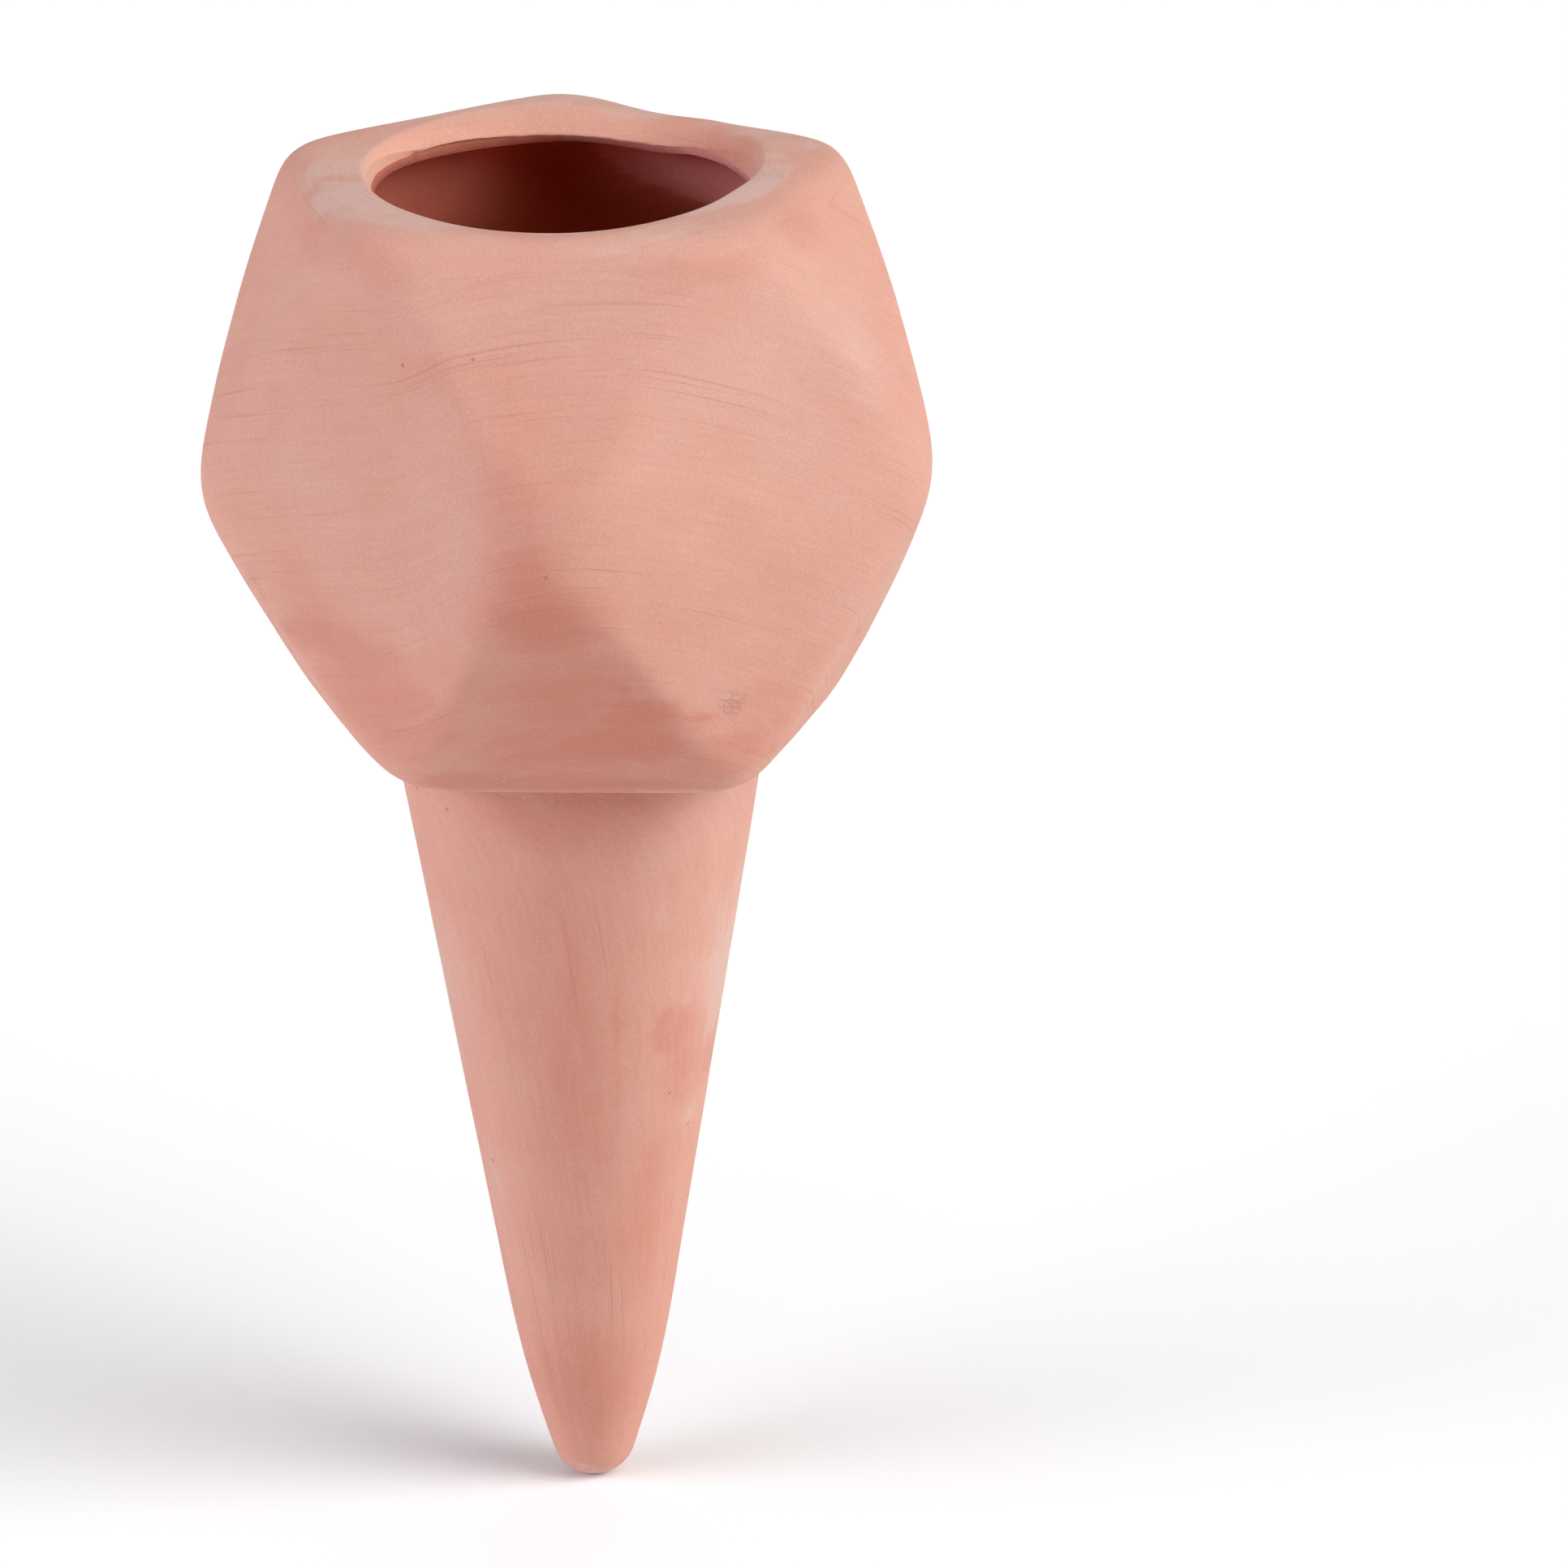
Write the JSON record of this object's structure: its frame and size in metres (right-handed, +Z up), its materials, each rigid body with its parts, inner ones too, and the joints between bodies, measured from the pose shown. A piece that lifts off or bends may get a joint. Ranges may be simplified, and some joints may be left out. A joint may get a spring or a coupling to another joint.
{
  "type": "plant watering spike",
  "caption": "Terracotta plant watering spike: a hollow faceted head with a round open mouth, luted to a hollow tapered spike that seeps water into the soil.",
  "frame": {"origin": "centre of the head's flat underside, at the level of the soil, on the axis of the spike and the mouth", "axes": "+Z up along the axis through the mouth, -Z down the spike; -Y towards the widest corner that the picture shows in front, +X to the picture's right"},
  "size_m": [0.0934, 0.0902, 0.1809],
  "materials": {
    "head_clay": "unglazed terracotta, sponged, matte",
    "spike_clay": "unglazed terracotta, brushed lengthwise, matte",
    "slip": "fired slip, wiped"
  },
  "bodies": {
    "root": {"head": "head_clay", "spike": "spike_clay", "luting_slip": "slip"}
  },
  "joints": []
}
